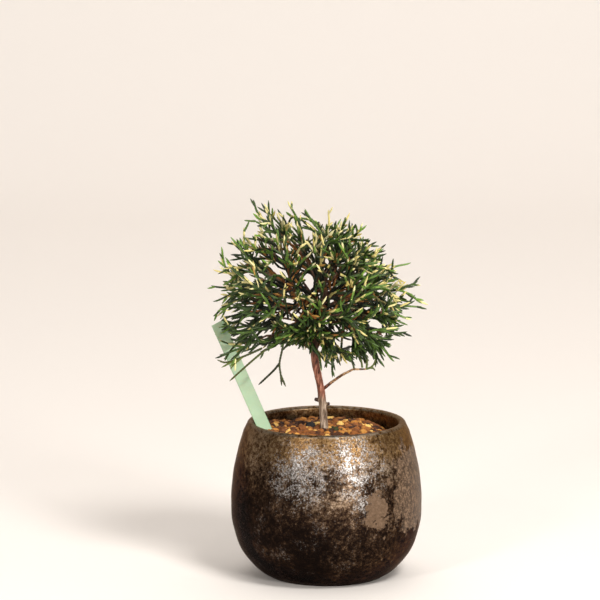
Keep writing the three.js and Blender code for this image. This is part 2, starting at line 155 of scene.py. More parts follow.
# ---- Node helpers ----
class Graph:
    """Short calls for building a material's nodes."""

    def __init__(self, name):
        self.material = bpy.data.materials.new(name)
        self.material.use_nodes = True
        self.tree = self.material.node_tree
        self.shader = self.tree.nodes["Principled BSDF"]

    def feed(self, socket, value):
        """Gives a socket a number, a vector or a colour, or another node's output."""
        if isinstance(value, bpy.types.NodeSocket):
            self.tree.links.new(value, socket)
        elif isinstance(value, tuple) and len(value) < len(socket.default_value):
            socket.default_value = (*value, 1)
        else:
            socket.default_value = value

    def node(self, kind, inputs, **settings):
        node = self.tree.nodes.new(kind)
        for key, value in settings.items():
            setattr(node, key, value)
        for key, value in inputs.items():
            self.feed(node.inputs[key], value)
        return node

    def position(self, scale=(1, 1, 1)):
        coordinates = self.node("ShaderNodeTexCoord", {})
        inputs = {"Vector": coordinates.outputs["Object"], "Scale": scale}
        return self.node("ShaderNodeMapping", inputs).outputs["Vector"]

    def noise(self, vector, scale, detail, roughness, distortion=0.0):
        inputs = {"Vector": vector, "Scale": scale, "Detail": detail}
        inputs |= {"Roughness": roughness, "Distortion": distortion}
        return self.node("ShaderNodeTexNoise", inputs).outputs["Fac"]

    def ramp(self, value, stops):
        """A colour for each value; every stop is a value and its colour."""
        node = self.node("ShaderNodeValToRGB", {"Fac": value})
        elements = node.color_ramp.elements
        while len(elements) < len(stops):
            elements.new(0.5)
        for element, (place, colour) in zip(elements, stops):
            element.position = place
            element.color = (*colour, 1)
        return node.outputs["Color"]

    def curve(self, value, low, high, out_low=0.0, out_high=1.0):
        """A smooth step from out_low to out_high while the value goes from low to high."""
        inputs = {"Value": value, "From Min": low, "From Max": high, "To Min": out_low, "To Max": out_high}
        return self.node("ShaderNodeMapRange", inputs, interpolation_type="SMOOTHSTEP").outputs["Result"]

    def math(self, operation, *values):
        return self.node("ShaderNodeMath", dict(enumerate(values)), operation=operation).outputs["Value"]

    def add(self, first, second):
        return self.math("ADD", first, second)

    def times(self, first, second):
        return self.math("MULTIPLY", first, second)

    def swing(self, value, size):
        """How far a value from 0 to 1 is off its middle, times the size."""
        return self.times(self.math("SUBTRACT", value, 0.5), size)

    def both(self, first, first_weight, second, second_weight):
        """The weighted sum of two values."""
        return self.add(self.times(first, first_weight), self.times(second, second_weight))

    def distance(self, vector, place):
        node = self.node("ShaderNodeVectorMath", {0: vector, 1: place}, operation="DISTANCE")
        return node.outputs["Value"]

    def mix(self, factor, first, second):
        node = self.node("ShaderNodeMix", {}, data_type="RGBA")
        sockets = {socket.name: socket for socket in node.inputs if socket.enabled}
        for name, value in (("Factor", factor), ("A", first), ("B", second)):
            self.feed(sockets[name], value)
        return [socket for socket in node.outputs if socket.enabled][0]

    def bump(self, height, strength, distance):
        inputs = {"Height": height, "Strength": strength, "Distance": distance}
        return self.node("ShaderNodeBump", inputs).outputs["Normal"]

    def attribute(self, name):
        return self.node("ShaderNodeAttribute", {}, attribute_name=name).outputs["Fac"]

    def split(self, vector):
        return self.node("ShaderNodeSeparateXYZ", {"Vector": vector}).outputs

    def surface(self, name, value):
        self.feed(self.shader.inputs[name], value)


# ---- Mesh helpers ----
def add_piece(name, mesh, material, replaces):
    """Adds a mesh as a piece of the part, in the place of a CAD node."""
    mesh.materials.append(material)
    piece = add_object(name, mesh)
    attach(piece, "root")
    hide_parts(replaces)


def mesh_from_lists(name, vertices, faces, smooth, attributes):
    """A mesh with one value of each attribute for every vertex."""
    mesh = bpy.data.meshes.new(name)
    mesh.from_pydata(vertices, [], faces)
    mesh.polygons.foreach_set("use_smooth", np.full(len(mesh.polygons), smooth))
    mesh.update()
    for key, values in attributes.items():
        attribute = mesh.attributes.new(key, "FLOAT", "POINT")
        attribute.data.foreach_set("value", np.asarray(values, np.float32))
    return mesh


def mesh_from_bmesh(name, bm):
    mesh = bpy.data.meshes.new(name)
    bm.to_mesh(mesh)
    bm.free()
    return mesh


def vertex_values(mesh, key):
    """The places or normals of a mesh's vertices, one in each row."""
    values = np.zeros(len(mesh.vertices) * 3)
    mesh.vertices.foreach_get(key, values)
    return values.reshape(-1, 3)


def node_points(name):
    return vertex_values(frame["nodes"][name].data, "co")


def around(turn, radius=1.0, height=0.0):
    """The point at an angle, radius and height about the vertical axis."""
    return Vector((radius * math.cos(turn), radius * math.sin(turn), height))


def bridge(bm, low, high):
    """Faces between two closed rings of as many vertices."""
    for k in range(len(low)):
        n = (k + 1) % len(low)
        bm.faces.new([low[k], low[n], high[n], high[k]])


def unit(vector):
    vector = np.asarray(vector, float)
    return vector / max(np.linalg.norm(vector), 1e-12)


def draw(least, extra):
    """A random number between least and least + extra."""
    return least + extra * rng.random()


def catmull(points, t):
    """Points on the smooth curve through the points given, at parameters t from 0 to 1."""
    points = np.asarray(points, float)
    ends = np.vstack([2 * points[0] - points[1], points, 2 * points[-1] - points[-2]])
    place = np.clip(np.asarray(t) * (len(points) - 1), 0, len(points) - 1 - 1e-9)
    index = place.astype(int)
    u = (place - index)[:, None]
    a, b, c, d = (ends[index + k] for k in range(4))
    square, cube = 2 * a - 5 * b + 4 * c - d, 3 * b - a - 3 * c + d
    return 0.5 * (2 * b + (c - a) * u + square * u**2 + cube * u**3)


# ---- Pot ----
# Noises of the glaze: scale, detail, roughness and distortion.
FIELDS = (34, 4, 0.6, 0.4)
CLOUDS = (130, 5, 0.62, 0.3)
MOTTLE = (520, 6, 0.72)
CRYSTALS = (900, 6, 0.72)
SPECKLE = (1500, 4, 0.7)
RAGGED = (120, 9, 0.72)
BELLY = [
    (0.34, (0.005, 0.003, 0.0025)), (0.54, (0.015, 0.008, 0.005)), (0.68, (0.045, 0.026, 0.015)),
    (0.84, (0.125, 0.078, 0.046)), (0.99, (0.34, 0.25, 0.17)),
]
GOLD = [
    (0.36, (0.040, 0.020, 0.009)), (0.48, (0.17, 0.090, 0.032)), (0.60, (0.40, 0.24, 0.095)),
    (0.74, (0.66, 0.46, 0.24)),
]
PEWTER = [(0.38, (0.050, 0.038, 0.030)), (0.5, (0.20, 0.180, 0.165)), (0.62, (0.50, 0.485, 0.475))]
LIP_HIGHLIGHT = (0.22, 0.19, 0.155)
PIT = (0.010, 0.006, 0.004)
SPECKLED_CLAY = [
    (0.42, (0.020, 0.011, 0.006)), (0.5, (0.090, 0.054, 0.031)), (0.58, (0.235, 0.155, 0.098)),
]
SMOOTH_CLAY = [
    (0.38, (0.075, 0.044, 0.025)), (0.5, (0.122, 0.076, 0.046)), (0.64, (0.180, 0.118, 0.076)),
]
CRYSTAL_CLOUDS = [  # middle, and the distances from it at which the cloud is full and gone
    ((-0.014, -0.044, 0.063), 0.004, 0.026), ((0.015, -0.044, 0.066), 0.009, 0.025),
    ((0.013, -0.036, 0.080), 0.006, 0.020), ((0.020, -0.045, 0.048), 0.001, 0.014),
    ((-0.015, 0.045, 0.050), 0.006, 0.034), ((0.047, 0.020, 0.060), 0.004, 0.026),
]
SMOOTH_PATCH = ((0.0275, -0.042, 0.044), (1.0, 1.0, 0.55), 0.0230)  # middle, squash, reach
SPECKLED_PATCH = ((0.046, -0.019, 0.050), (1.0, 0.9, 0.80), 0.0355)
PATCH_EDGE = 0.4 * MM  # half the width of a patch's soft edge
PATCH_WANDER = 34 * MM  # how far the ragged noise moves a patch's edge
GLAZE_TINT = (0.42, 0.33, 0.26)


def make_glaze():
    """A reduction-fired metallic glaze: bronze shoulder, pewter crystals, near-black belly, matt patch."""
    g = Graph("bronze_glaze")
    where = g.position()
    x, y, z = g.split(where)
    height = g.math("DIVIDE", z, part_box("pot")[1].z)
    fields = g.noise(where, *FIELDS)
    clouds = g.noise(where, *CLOUDS)
    mottle = g.noise(where, *MOTTLE)
    speckle = g.noise(where, *SPECKLE)
    grit = g.both(mottle, 0.6, speckle, 0.4)

    # The belly: near black, browner where the fields are high, on the right and towards the shoulder; the
    # darkening to the left and downwards is partly the glaze's own tone and partly a painted dark
    # reflection of the room and stand.
    warm_and_reflection = g.both(fields, 0.9, x, 1.6)
    warm_and_reflection = g.add(warm_and_reflection, g.times(g.curve(height, 0.30, 0.95), 0.42))
    warm_and_reflection = g.add(warm_and_reflection, g.swing(grit, 2.2))
    warm_and_reflection = g.add(warm_and_reflection, g.swing(clouds, 0.6))
    colour = g.ramp(warm_and_reflection, BELLY)

    # The shoulder: golden brown, broken up by grit, and weaker on the left, where the weakening is partly
    # the glaze's own tone and partly a painted dark reflection, as on the belly.
    edge = g.add(height, g.swing(clouds, 0.20))
    shoulder = g.times(g.curve(edge, 0.76, 0.88), g.curve(x, -0.044, -0.004, 0.25, 1.0))
    colour = g.mix(g.times(shoulder, 0.85), colour, g.ramp(grit, GOLD))

    # Pewter crystals, thick inside the clouds and thinning out to single flecks.
    cloud = None
    for middle, full, gone in CRYSTAL_CLOUDS:
        near = g.curve(g.distance(where, middle), gone, full)
        cloud = g.math("MAXIMUM", cloud, near) if cloud else near
    crystals = g.both(g.noise(where, *CRYSTALS), 0.62, clouds, 0.38)
    silver = g.curve(g.add(crystals, g.times(cloud, 0.105)), 0.565, 0.64)
    strength = g.times(silver, g.curve(cloud, 0.0, 0.6, 0.25, 0.92))
    colour = g.mix(strength, colour, g.ramp(speckle, PEWTER))

    # A thin pale pewter line along the lip: a painted highlight on the lip's edge.
    lip = g.times(g.curve(height, 0.978, 0.992), g.curve(mottle, 0.40, 0.56))
    colour = g.mix(g.times(lip, 0.7), colour, LIP_HIGHLIGHT)

    # Small dark pits.
    pits = g.curve(speckle, 0.40, 0.32)
    colour = g.mix(g.times(pits, 0.75), colour, PIT)

    # A bare, matt patch with a ragged edge on the right, smooth in front and speckled behind.
    wander = g.times(g.noise(where, *RAGGED), PATCH_WANDER)
    patches = []
    for middle, squash, reach in (SMOOTH_PATCH, SPECKLED_PATCH):
        squashed = tuple(p * q for p, q in zip(middle, squash))
        distance = g.add(g.distance(g.position(squash), squashed), wander)
        patches.append(g.curve(distance, reach + PATCH_EDGE, reach - PATCH_EDGE))
    bare = g.math("MAXIMUM", *patches)
    bare_colour = g.mix(patches[0], g.ramp(grit, SPECKLED_CLAY), g.ramp(grit, SMOOTH_CLAY))
    colour = g.mix(bare, colour, bare_colour)

    g.surface("Base Color", colour)
    g.surface("Metallic", g.math("SUBTRACT", 0.88, g.times(bare, 0.68)))
    g.surface("Roughness", g.add(g.curve(grit, 0.35, 0.65, 0.26, 0.44), g.times(bare, 0.15)))
    g.surface("Specular Tint", GLAZE_TINT)
    g.surface("Coat Weight", g.times(silver, 0.25))
    g.surface("Coat Roughness", 0.24)
    relief = g.both(grit, 0.9, silver, 0.35)
    relief = g.math("SUBTRACT", relief, g.times(pits, 0.6))
    relief = g.math("SUBTRACT", relief, g.times(bare, 0.5))
    g.surface("Normal", g.bump(relief, 0.55, 0.30 * MM))
    return g.material


# The outline by its share of the belly's radius and of the height, as the pot is turned.
POT_OUTLINE = [
    (0.600, 0.000), (0.734, 0.0515), (0.896, 0.172), (0.984, 0.337), (1.0, 0.484), (0.984, 0.637),
    (0.940, 0.784), (0.872, 0.934),
]
POT_SIDES = 288
POT_WALL = 4 * MM
POT_FLOOR = 7 * MM
OUTLINE_ROWS = 80
FOOT_RADIUS = 29.6 * MM
FOOT_ROWS = 8
FLOOR_ROWS = 6
CORNER = 4 * MM  # the slope between the inner wall and the floor
LIP_ROUND = 2 * MM
LIP_SHARE = 0.794  # radius of the lip's middle, as a share of the belly's
LIP_TURNS = np.radians(np.linspace(12, 170, 14))
RING_SIZE = 0.05 * MM  # throwing rings
RING_PITCH = 2.1 * MM  # height of one ring, divided by 2 pi
WOBBLE_SIZE = 0.16 * MM
WALL_ROOM = 0.2 * MM  # room for both inside the CAD pot
HOLE_RADIUS = 3.5 * MM
HOLE_RING = 13 * MM
HOLE_COUNT = 3
HOLE_SIDES = 32
PLATE_RADIUS = 18 * MM  # the flat middle of the floor that carries the holes
FLAT = 0.999  # a face whose normal is steeper than this lies flat


def pot_rows():
    """The wall's section as (radius, height) rows, from under the floor round the lip to the floor."""
    belly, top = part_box("pot")[1].x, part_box("pot")[1].z
    outer = catmull([(r * belly, z * top) for r, z in POT_OUTLINE], np.linspace(0, 1, OUTLINE_ROWS))
    lip_centre = np.array([LIP_SHARE * belly, top - LIP_ROUND])
    lip = [lip_centre + LIP_ROUND * np.array([math.cos(a), math.sin(a)]) for a in LIP_TURNS]
    tangent = np.gradient(outer, axis=0)
    tangent /= np.linalg.norm(tangent, axis=1)[:, None]
    inner = outer + POT_WALL * np.stack([-tangent[:, 1], tangent[:, 0]], 1)
    inner = [tuple(p) for p in inner if p[1] > POT_FLOOR + 3 * MM][::-1]
    foot = [(r, 0.0) for r in np.linspace(PLATE_RADIUS, FOOT_RADIUS, FOOT_ROWS)]
    floor = [(r, POT_FLOOR) for r in np.linspace(inner[-1][0] - CORNER, PLATE_RADIUS, FLOOR_ROWS)]
    return foot + [tuple(p) for p in outer] + [tuple(p) for p in lip] + inner + floor


def thrown(radius, height, turn):
    """The wall's radius with fine throwing rings and a slow wobble, both under a third of a millimetre."""
    if height < 1 * MM or radius <= PLATE_RADIUS:
        return radius
    ring = RING_SIZE * math.sin(height / RING_PITCH + 0.6 * math.sin(turn * 2))
    wobble = WOBBLE_SIZE * noise.noise(around(turn, 1.0, height * 14) * 1.7)
    return radius + ring + wobble - WALL_ROOM


def make_pot():
    bm = bmesh.new()
    turns = np.linspace(0, 2 * math.pi, POT_SIDES, endpoint=False)
    rings = []
    for radius, height in pot_rows():
        rings.append([bm.verts.new(around(t, thrown(radius, height, t), height)) for t in turns])
    for low, high in zip(rings, rings[1:]):
        bridge(bm, low, high)
    # The floor's flat middle, pierced by the drain holes.
    loops = []
    for ring, height in ((rings[0], 0.0), (rings[-1], POT_FLOOR)):
        edges = [bm.edges.get((ring[j], ring[(j + 1) % POT_SIDES])) for j in range(POT_SIDES)]
        for hole in range(HOLE_COUNT):
            middle = around(2 * math.pi * hole / HOLE_COUNT + math.pi / 2, HOLE_RING, height)
            turns = [2 * math.pi * k / HOLE_SIDES for k in range(HOLE_SIDES)]
            loop = [bm.verts.new(middle + HOLE_RADIUS * around(turn)) for turn in turns]
            edges += [bm.edges.new((loop[k], loop[(k + 1) % HOLE_SIDES])) for k in range(HOLE_SIDES)]
            loops.append(loop)
        bmesh.ops.triangle_fill(bm, edges=edges, use_beauty=True)
    for low, high in zip(loops[:HOLE_COUNT], loops[HOLE_COUNT:]):
        bridge(bm, low, high)
    bmesh.ops.recalc_face_normals(bm, faces=bm.faces)
    for face in bm.faces:
        face.smooth = abs(face.normal.z) < FLAT
    add_piece("glazed_pot", mesh_from_bmesh("glazed_pot", bm), make_glaze(), "pot")


# ---- Foliage ----
# The crown's outline from the front, as (x, z) shares of the box round the CAD sprays.
CROWN_OUTLINE = [
    (0.98, 0.431), (0.92, 0.598), (0.83, 0.699), (0.73, 0.833), (0.63, 0.933), (0.51, 0.911),
    (0.35, 0.967), (0.21, 1.011), (0.12, 0.888), (0.01, 0.654), (0.01, 0.52), (0.0, 0.297),
    (0.03, 0.174), (0.1, 0.107), (0.2, 0.118), (0.33, 0.174), (0.4, 0.185), (0.46, 0.151),
    (0.52, 0.096), (0.57, 0.029), (0.63, 0.073), (0.76, 0.07), (0.84, 0.11), (0.91, 0.241),
    (0.93, 0.33),
]
# Long shoots that stand out of the crown or hang below it, as (x, y, z) shares of the same box.
STRAY_TIPS = [
    (0.97, 0.45, 0.553), (0.99, 0.42, 0.431), (0.99, 0.519, 0.397), (0.94, 0.35, 0.352),
    (0.92, 0.4, 0.274), (0.86, 0.38, 0.105), (0.94, 0.549, 0.643), (0.82, 0.45, 0.766),
    (0.73, 0.499, 0.866), (0.65, 0.45, 0.944), (0.55, 0.499, 0.955), (0.44, 0.45, 0.967),
    (0.36, 0.519, 1.0), (0.27, 0.479, 1.011), (0.2, 0.499, 1.011), (0.13, 0.45, 0.922),
    (0.05, 0.499, 0.743), (0.01, 0.45, 0.62), (0.0, 0.499, 0.52), (0.01, 0.42, 0.442),
    (0.01, 0.45, 0.352), (0.09, 0.34, 0.084), (0.04, 0.34, 0.151), (0.02, 0.36, 0.129),
    (0.06, 0.38, 0.118), (0.11, 0.35, 0.129), (0.765, 0.46, 0.1), (0.74, 0.47, 0.065),
    (0.78, 0.45, 0.085), (0.7, 0.46, 0.096), (0.66, 0.47, 0.107), (0.57, 0.36, 0.017),
    (0.52, 0.34, 0.073), (0.8, 0.42, 0.08),
]
# Sprigs that hang below the crown: each a row of points, in the same shares.
HANGING_SPRIGS = [
    [
        (0.345, 0.42, 0.252), (0.335, 0.39, 0.174), (0.322, 0.375, 0.096), (0.328, 0.37, 0.029),
        (0.332, 0.37, -0.033),
    ],
    [(0.322, 0.375, 0.096), (0.295, 0.37, 0.057), (0.255, 0.36, 0.012), (0.222, 0.355, -0.025)],
    [(0.328, 0.37, 0.029), (0.34, 0.365, -0.005), (0.352, 0.36, -0.036)],
    [(0.26, 0.4, 0.174), (0.2, 0.37, 0.118), (0.145, 0.35, 0.062), (0.088, 0.34, 0.001)],
    [(0.24, 0.42, 0.174), (0.15, 0.37, 0.135), (0.075, 0.35, 0.107), (0.03, 0.34, 0.124)],
    [(0.15, 0.37, 0.135), (0.11, 0.35, 0.096), (0.092, 0.34, 0.068)],
    [(0.12, 0.36, 0.124), (0.07, 0.35, 0.09), (0.05, 0.34, 0.079)],
    [(0.723, 0.441, 0.05), (0.747, 0.439, 0.059), (0.765, 0.437, 0.081), (0.772, 0.437, 0.112)],
    [(0.741, 0.44, 0.058), (0.761, 0.438, 0.056), (0.77, 0.437, 0.041)],
    [(0.71, 0.447, 0.058), (0.705, 0.447, 0.096), (0.692, 0.447, 0.134)],
    [(0.73, 0.442, 0.056), (0.732, 0.442, 0.101), (0.723, 0.447, 0.145)],
    [(0.674, 0.458, 0.041), (0.665, 0.458, 0.08), (0.651, 0.458, 0.112)],
]
# See-through gaps, as (x, z) shares of the box and a radius.
CROWN_GAPS = [
    (0.462, 0.573, 2.0 * MM), (0.458, 0.52, 2.0 * MM), (0.366, 0.325, 2.3 * MM),
    (0.409, 0.363, 1.5 * MM), (0.366, 0.423, 1.5 * MM), (0.492, 0.186, 1.8 * MM),
    (0.605, 0.191, 2.6 * MM), (0.652, 0.211, 1.0 * MM), (0.18, 0.829, 2.6 * MM),
    (0.313, 0.609, 1.3 * MM), (0.259, 0.244, 2.0 * MM), (0.233, 0.17, 2.0 * MM),
    (0.758, 0.308, 1.8 * MM), (0.565, 0.284, 1.8 * MM), (0.452, 0.796, 1.8 * MM),
    (0.519, 0.463, 1.4 * MM), (0.579, 0.43, 1.4 * MM),
]
GAP_MARGIN = 0.5 * MM  # room kept round a gap
GAP_CROSSING = 0.16  # the share of shoots that grow across a gap all the same
CROWN_HEART = (0.500, 0.499, 0.414)  # centre of growth, as a share of the box
CROWN_DEPTH = 0.47  # half the crown from front to back, as a share of the box
CROWN_LEAN = 0.176  # how far the crown's front rides up for its distance forward
LAYERS = [  # number of shoots, nearest and farthest tips as shares of the crown's reach
    (130, 0.14, 0.40), (380, 0.38, 0.64), (700, 0.60, 0.82), (1150, 0.82, 0.965),
]
SCATTER = 1.1  # how far tips stray from even places, times the root of their number

SHOOT_LENGTH = 10.0 * MM  # the length a shoot grows to where it has room
LONGEST_SHOOT = 26 * MM
NODE_STEP = 1.3 * MM
WOOD_STEP = 2.2 * MM  # between places on the wood that can carry shoots
STEM_RIM = 0.97  # the first shoot of a spray is cut back to this share of the crown's reach
CUT_BACK = 0.88
CUT_BACK_STEPS = 8

# What a place costs a shoot that would start there.
SHORT_BY = 4.5 * MM  # a shoot this much shorter than SHOOT_LENGTH, or longer by LONG_BY, costs one
LONG_BY = 4.0 * MM
TURN_COST = 6.5
WOOD_TURN_COST = 2.2
WOOD_COST = 1.2
CROWDING_COST = 1.3
CROWDED = 1.8 * MM  # a shoot's start crowds the places this near to it
INWARD_COST = 9
OUTWARD = 0.66  # shoots that head outwards less than this cost more
STRAIGHT_COST = 0.8
STRAIGHT = 0.06  # shoots that turn less than this run along their parent and cost more

FORK_PLACE = (0.35, 0.35)  # share of the shoot, angle in degrees and length in mm: least and extra
FORK_ANGLE = (26, 14)
FORK_LENGTH = (3.8, 3.0)
FORK_OUTWARD = 0.5
FORK_BEND = 0.25
FORK_RIM = 0.55  # shoots whose tips lie deeper in the crown than this have no side shoots
FORK_CHANCE = 0.8
SECOND_FORK_CHANCE = 0.35

SHOOT_SIDES = 8
SHOOT_RADIUS = 0.62 * MM  # at the start, for a shoot without children
CHILD_GROWTH = 0.03 * MM  # added to the radius for each child, up to eight
END_RADIUS = 0.50 * MM
SHOOT_TIP = 2.4 * MM  # length of the taper at the tip
SCALE_PITCH = 1.5 * MM  # from one pair of scale leaves to the next pair above it
SCALE_STEP = 0.08  # height of the step between two pairs, as a share of half the pitch
SCALE_BASE = 0.86  # a scale's radius at its foot, and its flare, as shares of the shoot's radius
SCALE_FLARE = 0.28

LEAF_GREEN = [(0.12, (0.006, 0.014, 0.002)), (0.5, (0.033, 0.068, 0.008)), (0.92, (0.165, 0.305, 0.034))]
LEAF_PALE = [(0.2, (0.55, 0.44, 0.12)), (0.5, (0.78, 0.67, 0.26)), (0.8, (0.90, 0.82, 0.46))]
LEAF_BROWN = [(0.1, (0.060, 0.018, 0.006)), (0.45, (0.25, 0.080, 0.016)), (0.9, (0.50, 0.23, 0.05))]
LEAF_SHADE = (0.0015, 0.0025, 0.0008)


class Shoots:
    """Collects the scale-covered shoots of one spray as one mesh."""

    def __init__(self):
        self.vertices = []
        self.faces = []
        self.values = {"cream": [], "brown": [], "tone": [], "depth": []}

    def add(self, path, start_radius, cream, depth, brown, tone, roll):
        """Adds a shoot along a path of points; cream and depth are (start, end) pairs."""
        path = np.asarray(path, float)
        steps = np.linalg.norm(np.diff(path, axis=0), axis=1)
        along = np.concatenate([[0], np.cumsum(steps)])
        length = along[-1]
        half = SCALE_PITCH / 2
        stations = [0.0]
        for k in range(int(length / half)):
            stations += [(k + SCALE_STEP) * half, (k + 1 - SCALE_STEP) * half]
        tip = min(SHOOT_TIP, length * 0.4)
        stations = {s for s in stations if s < length - tip * 0.55}
        s = np.array(sorted(stations | {length - tip * 0.5, length - tip * 0.22}))
        centre = np.stack([np.interp(s, along, path[:, k]) for k in range(3)], 1)
        tangent = np.gradient(centre, axis=0)
        tangent /= np.linalg.norm(tangent, axis=1)[:, None]
        side = unit(np.cross(tangent[0], (0.3, 0.5, 0.81)))
        sides = side - tangent * (tangent @ side)[:, None]
        sides /= np.linalg.norm(sides, axis=1)[:, None]
        others = np.cross(tangent, sides)

        share = s / length
        body = start_radius + (END_RADIUS - start_radius) * share
        body = body * np.clip((length - s) / tip, 0, 1) ** 0.55
        # Pairs of scale leaves sit crosswise: one pair flares where the next one starts.
        front = (s / SCALE_PITCH) % 1.0
        cross = (s / SCALE_PITCH + 0.5) % 1.0
        between = 0.2 * (front + cross)
        flare = np.stack([front, between, cross, between] * 2, 1)
        radius = body[:, None] * (SCALE_BASE + SCALE_FLARE * flare**1.3)
        turns = np.arange(SHOOT_SIDES) * 2 * math.pi / SHOOT_SIDES + roll
        rings = centre[:, None, :] + (radius * np.cos(turns))[:, :, None] * sides[:, None, :]
        rings = rings + (radius * np.sin(turns))[:, :, None] * others[:, None, :]

        first = len(self.vertices)
        self.vertices.extend(rings.reshape(-1, 3))
        self.vertices += [path[-1], path[0]]
        for name, (start, end) in {"cream": cream, "depth": depth}.items():
            self.values[name].extend(np.repeat(start + (end - start) * share, SHOOT_SIDES))
            self.values[name] += [end, start]
        added = len(self.vertices) - first
        self.values["brown"] += [brown] * added
        self.values["tone"] += [tone] * added
        last = first + (len(s) - 1) * SHOOT_SIDES
        apex, base = last + SHOOT_SIDES, last + SHOOT_SIDES + 1
        for a in range(first, last, SHOOT_SIDES):
            b = a + SHOOT_SIDES
            for j in range(SHOOT_SIDES):
                k = (j + 1) % SHOOT_SIDES
                self.faces.append((a + j, a + k, b + k, b + j))
        for j in range(SHOOT_SIDES):
            k = (j + 1) % SHOOT_SIDES
            self.faces.append((last + j, last + k, apex))
            self.faces.append((base, first + k, first + j))


class Crown:
    """The crown's shape: how far it reaches from its heart in every direction."""

    def __init__(self, names):
        corners = np.array([[list(corner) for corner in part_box(name)] for name in names])
        self.low, self.high = corners[:, 0].min(axis=0), corners[:, 1].max(axis=0)
        self.size = self.high - self.low
        self.heart = self.at(CROWN_HEART)
        outline = np.array([self.at((x, 0.5, z)) for x, z in CROWN_OUTLINE]) - self.heart
        self.angles = np.arctan2(outline[:, 2], outline[:, 0])
        self.radii = np.hypot(outline[:, 2], outline[:, 0])

    def at(self, share):
        """The place with these shares of the crown's box."""
        return self.low + self.size * np.asarray(share)

    def height(self, place):
        """How high a place lies in the crown's box, from 0 to 1."""
        return (place[2] - self.low[2]) / self.size[2]

    def reach(self, direction):
        x, y, z = unit(direction)
        z += CROWN_LEAN * y
        flat = np.interp(math.atan2(z, x), self.angles, self.radii, period=2 * math.pi)
        return 1 / math.hypot(math.hypot(x, z) / flat, y / (CROWN_DEPTH * self.size[1]))

    def share(self, point):
        """Where a point lies between the heart (0) and the crown's surface (1)."""
        offset = np.asarray(point) - self.heart
        distance = np.linalg.norm(offset)
        return distance / self.reach(offset) if distance > 1e-9 else 0.0

    def in_gap(self, path):
        """Whether a path crosses one of the gaps, which run from the front to the back."""
        path = np.asarray(path)
        for x, z, radius in CROWN_GAPS:
            gap = self.at((x, 0.5, z))
            off = np.hypot(path[:, 0] - gap[0], path[:, 2] + CROWN_LEAN * path[:, 1] - gap[2])
            if (off < radius + GAP_MARGIN).any():
                return True
        return False

    def targets(self):
        """Places for the shoots' tips, from the heart outwards, and the stray tips last."""
        places = []
        for count, low, high in LAYERS:
            for k in range(count):
                height = 1 - 2 * (k + 0.5) / count
                flat = math.sqrt(1 - height * height)
                turn = k * math.pi * (3 - math.sqrt(5))
                direction = np.array([flat * math.cos(turn), flat * math.sin(turn), height])
                direction = unit(direction + rng.normal(size=3) * SCATTER / math.sqrt(count))
                share = low + (high - low) * rng.random()
                places.append(self.heart + direction * self.reach(direction) * share)
        places.sort(key=self.share)
        return places + [self.at(share) for share in STRAY_TIPS]


